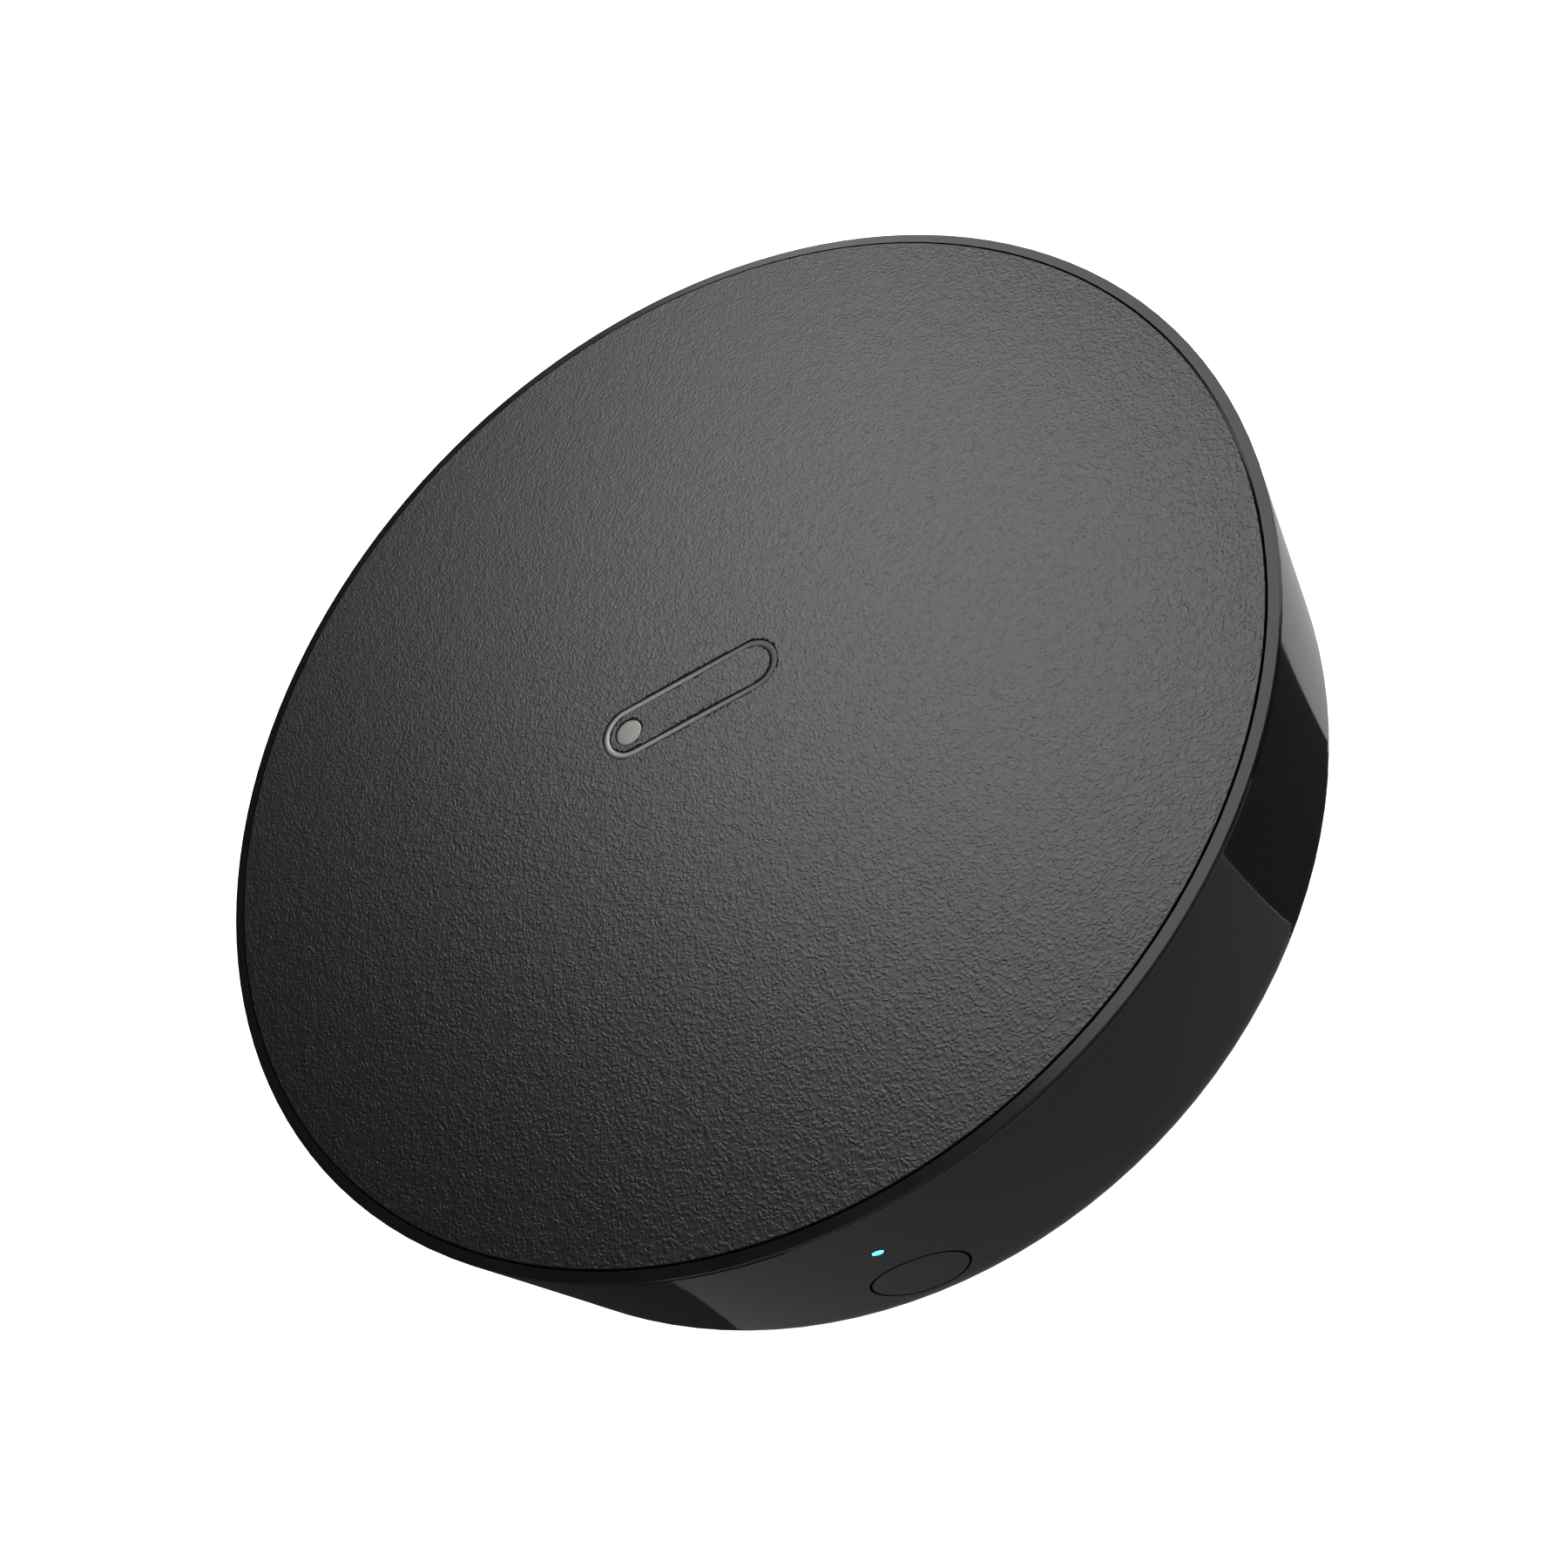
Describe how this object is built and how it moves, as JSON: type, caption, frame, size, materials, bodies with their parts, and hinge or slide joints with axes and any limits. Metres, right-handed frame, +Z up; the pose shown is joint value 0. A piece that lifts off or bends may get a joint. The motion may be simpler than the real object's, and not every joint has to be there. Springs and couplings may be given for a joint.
{
  "type": "smart home hub",
  "caption": "Flat round table-top hub with a leather-grain lid, a glossy infrared side band, a front push button with a status light, a recessed rear socket bay and a downward speaker.",
  "frame": {"origin": "centre of the footprint on the table, at the underside of the foot pads", "axes": "+Z up, -Y towards the front button, +Y towards the rear socket bay"},
  "size_m": [0.1006, 0.1006, 0.0308],
  "materials": {
    "lid_grain": "fine leather grain, satin",
    "emblem_metal": "satin",
    "tape": "double-sided adhesive tape",
    "rim_satin": "smooth satin",
    "band_gloss": "high gloss, dark infrared window",
    "base_matte": "fine spark-eroded texture",
    "foot_rubber": "matt",
    "button_gloss": "high gloss",
    "dark_insulator": "moulded",
    "pale_insulator": "moulded",
    "led_package": "moulded",
    "light_pipe": "clear acrylic, lit",
    "steel_sheet": "tin-plated sheet",
    "contact_gold": "gold-plated",
    "board_green": "solder mask over glass-fibre laminate",
    "chip_black": "epoxy",
    "thermal_pad": "soft filled silicone",
    "aluminium_plate": "mill finish",
    "board_blue": "solder mask over glass-fibre laminate",
    "capacitor_can": "sleeved can",
    "ferrite": "ferrite",
    "ir_lens": "tinted epoxy",
    "ir_dark": "dark epoxy",
    "antenna_copper": "etched copper on film",
    "coax_jacket": "thin coaxial jacket",
    "mesh_cloth": "fine acoustic mesh",
    "foam": "closed-cell foam",
    "magnet_plated": "plated",
    "cone_paper": "coated paper",
    "surround_rubber": "matt",
    "lead_red": "wire insulation",
    "screw_steel": "zinc-plated"
  },
  "bodies": {
    "hub": {"lid_panel": "lid_grain", "emblem": "emblem_metal", "lid_tape": "tape", "top_cover": "rim_satin", "side_band": "band_gloss", "bottom_housing": "base_matte", "foot_pad_1": "foot_rubber", "foot_pad_2": "foot_rubber", "foot_pad_3": "foot_rubber", "foot_pad_4": "foot_rubber", "switch_body": "dark_insulator", "status_led": "led_package", "light_pipe": "light_pipe", "socket_bezel": "base_matte", "network_shell": "steel_sheet", "network_insert": "dark_insulator", "network_contacts": "contact_gold", "usb_shell": "steel_sheet", "usb_tongue": "dark_insulator", "usb_contacts": "contact_gold", "power_shell": "steel_sheet", "power_tongue": "dark_insulator", "main_board": "board_green", "processor": "chip_black", "memory_chip": "chip_black", "thermal_pad": "thermal_pad", "heat_spreader": "aluminium_plate", "radio_board": "board_blue", "radio_shield": "steel_sheet", "network_transformer": "chip_black", "capacitor_1": "capacitor_can", "capacitor_2": "capacitor_can", "capacitor_3": "capacitor_can", "crystal": "steel_sheet", "inductor_1": "ferrite", "inductor_2": "ferrite", "ir_led_1": "ir_lens", "ir_led_2": "ir_lens", "ir_led_3": "ir_lens", "ir_led_4": "ir_lens", "ir_led_5": "ir_lens", "ir_led_6": "ir_lens", "ir_receiver": "ir_dark", "antenna_1": "antenna_copper", "antenna_2": "antenna_copper", "coax_1": "coax_jacket", "coax_2": "coax_jacket", "speaker_mesh": "mesh_cloth", "speaker_gasket": "foam", "speaker_basket": "dark_insulator", "speaker_magnet": "magnet_plated", "speaker_surround": "surround_rubber", "speaker_socket": "pale_insulator", "speaker_leads": "lead_red", "board_screws": "screw_steel", "housing_screws": "screw_steel"},
    "button": {"button_cap": "button_gloss"},
    "switch_actuator": {"switch_plunger": "pale_insulator"},
    "speaker_diaphragm": {"speaker_cone": "cone_paper"}
  },
  "joints": [
    {"name": "button_press", "type": "slide", "parent": "hub", "child": "button", "axis": [0, 1, 0], "range_m": [0, 0.0004], "stiffness_N_per_m": 2500},
    {"name": "switch_travel", "type": "slide", "parent": "hub", "child": "switch_actuator", "axis": [0, 1, 0], "range_m": [0, 0.0004]},
    {"name": "diaphragm_stroke", "type": "slide", "parent": "hub", "child": "speaker_diaphragm", "axis": [0, 0, 1], "range_m": [-0.0004, 0.0004], "stiffness_N_per_m": 1200}
  ],
  "couplings": [
    {"joint": "switch_travel", "follows": "button_press", "ratio": 1}
  ]
}
